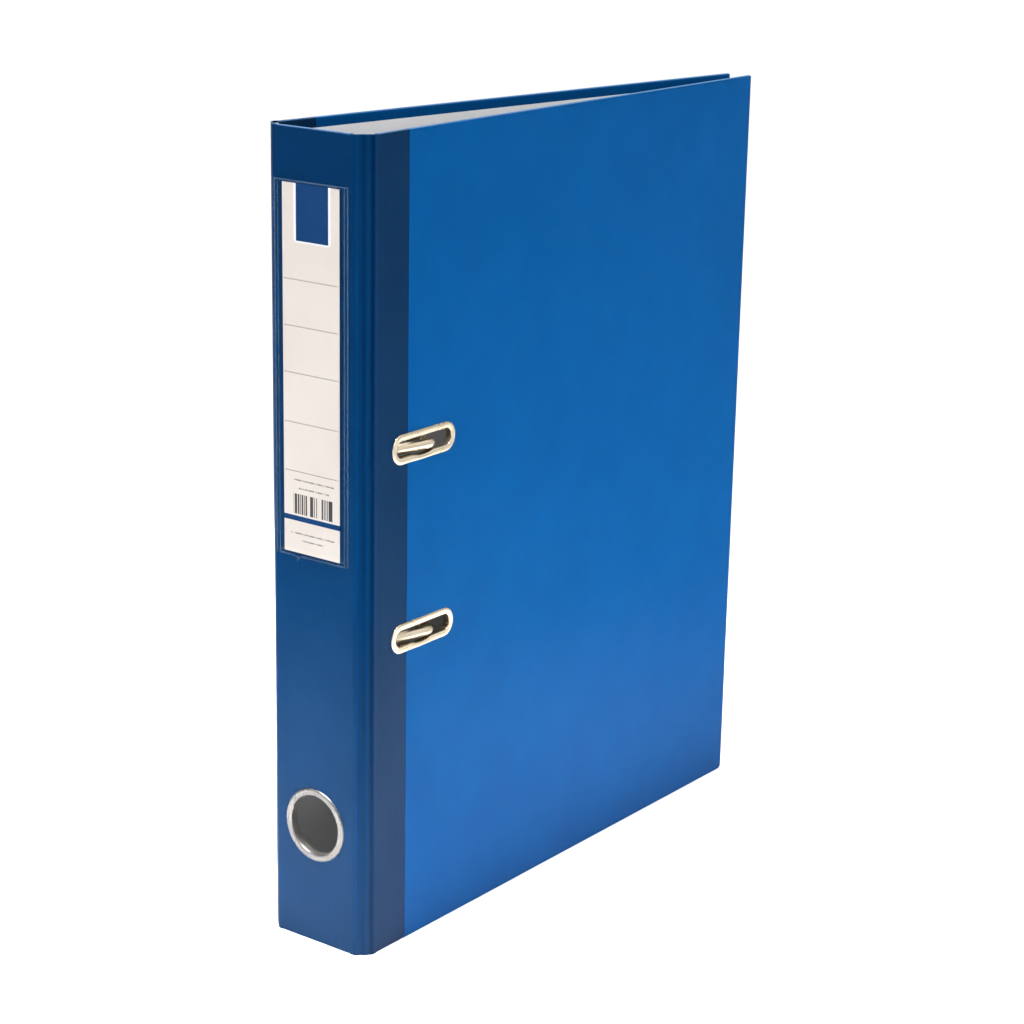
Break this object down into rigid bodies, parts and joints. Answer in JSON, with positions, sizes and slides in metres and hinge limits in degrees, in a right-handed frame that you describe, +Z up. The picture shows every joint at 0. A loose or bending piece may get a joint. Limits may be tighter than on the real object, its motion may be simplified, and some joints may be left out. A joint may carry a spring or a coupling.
{
  "type": "lever arch file",
  "caption": "Upright blue lever arch file: hinged board covers, cloth spine with label pocket and finger ring, and a lever arch mechanism on the back cover.",
  "frame": {"origin": "bottom centre of the closed file, on the surface it stands on", "axes": "+Z up along the spine, the spine faces -Y, the front cover is on +X and the back cover with the mechanism on -X"},
  "size_m": [0.0544, 0.2868, 0.343],
  "materials": {
    "cover_paper": "bright blue printed paper with a soft varnish sheen",
    "spine_cloth": "navy coated book cloth, fine linen grain",
    "greyboard": "grey binder's board",
    "lining_paper": "light grey lining paper",
    "bright_nickel": "bright nickel plate, slightly warm",
    "dull_nickel": "satin nickel plate",
    "clear_film": "clear welded film",
    "label_card": "white card with plain printed blocks and rules"
  },
  "bodies": {
    "back_cover": {"back_board": "greyboard", "back_cover_paper": "cover_paper", "back_turn_in": "cover_paper", "back_cloth_margin": "spine_cloth", "back_lining": "lining_paper", "base_plate": "dull_nickel", "post_upper": "bright_nickel", "post_lower": "bright_nickel", "lever_pin": "bright_nickel", "rivet_lower_spine": "dull_nickel", "rivet_upper_spine": "dull_nickel", "rivet_lower_fore": "dull_nickel", "rivet_upper_fore": "dull_nickel"},
    "back_hinge": {"back_hinge_cloth": "spine_cloth"},
    "spine": {"spine_board": "greyboard", "spine_cloth": "spine_cloth", "spine_lining": "lining_paper", "finger_ring": "bright_nickel", "finger_ring_washer": "dull_nickel", "label_pocket": "clear_film"},
    "front_hinge": {"front_hinge_cloth": "spine_cloth"},
    "front_cover": {"front_board": "greyboard", "front_cover_paper": "cover_paper", "front_turn_in": "cover_paper", "front_cloth_margin": "spine_cloth", "front_lining": "lining_paper", "slot_eyelet_upper": "bright_nickel", "slot_eyelet_lower": "bright_nickel"},
    "arches": {"arch_wire": "bright_nickel"},
    "lever": {"lever": "bright_nickel"},
    "spring": {"arch_spring": "dull_nickel"},
    "compressor": {"compressor_bar": "bright_nickel", "latch_pin": "bright_nickel"},
    "latch": {"compressor_latch": "dull_nickel"},
    "label": {"label_card": "label_card"}
  },
  "joints": [
    {"name": "back_fold", "type": "hinge", "parent": "back_cover", "child": "back_hinge", "pos_m": [-0.0272, -0.13714, 0], "axis": [0, 0, -1], "range_deg": [0, 45]},
    {"name": "spine_fold", "type": "hinge", "parent": "back_hinge", "child": "spine", "pos_m": [-0.0218, -0.14254, 0], "axis": [0, 0, -1], "range_deg": [0, 45]},
    {"name": "front_fold", "type": "hinge", "parent": "spine", "child": "front_hinge", "pos_m": [0.0218, -0.14254, 0], "axis": [0, 0, -1], "range_deg": [0, 45]},
    {"name": "front_cover_swing", "type": "hinge", "parent": "front_hinge", "child": "front_cover", "pos_m": [0.0272, -0.13714, 0], "axis": [0, 0, -1], "range_deg": [0, 180]},
    {"name": "lever_lift", "type": "hinge", "parent": "back_cover", "child": "lever", "pos_m": [-0.01538, -0.11263, 0.1745], "axis": [0, 0, 1], "range_deg": [0, 80]},
    {"name": "arch_swing", "type": "hinge", "parent": "back_cover", "child": "arches", "pos_m": [-0.01921, -0.12684, 0.1745], "axis": [0, 0, -1], "range_deg": [0, 40]},
    {"name": "spring_flex", "type": "hinge", "parent": "back_cover", "child": "spring", "pos_m": [-0.02017, -0.10415, 0.1745], "axis": [0, 0, 1], "range_deg": [0, 17.5]},
    {"name": "compressor_slide", "type": "slide", "parent": "back_cover", "child": "compressor", "axis": [0.9957, -0.0924, 0], "range_m": [0, 0.032]},
    {"name": "latch_tilt", "type": "hinge", "parent": "compressor", "child": "latch", "pos_m": [-0.01309, -0.08573, 0.1345], "axis": [0, 0, 1], "range_deg": [0, 10], "stiffness_Nm_per_rad": 0.02},
    {"name": "label_slide", "type": "slide", "parent": "spine", "child": "label", "axis": [0, 0, 1], "range_m": [0, 0.155]}
  ],
  "couplings": [
    {"joint": "front_fold", "follows": "spine_fold", "ratio": 1},
    {"joint": "lever_lift", "follows": "spine_fold", "ratio": 1.7777},
    {"joint": "arch_swing", "follows": "spine_fold", "ratio": 0.8888},
    {"joint": "spring_flex", "follows": "spine_fold", "ratio": 0.3778}
  ]
}
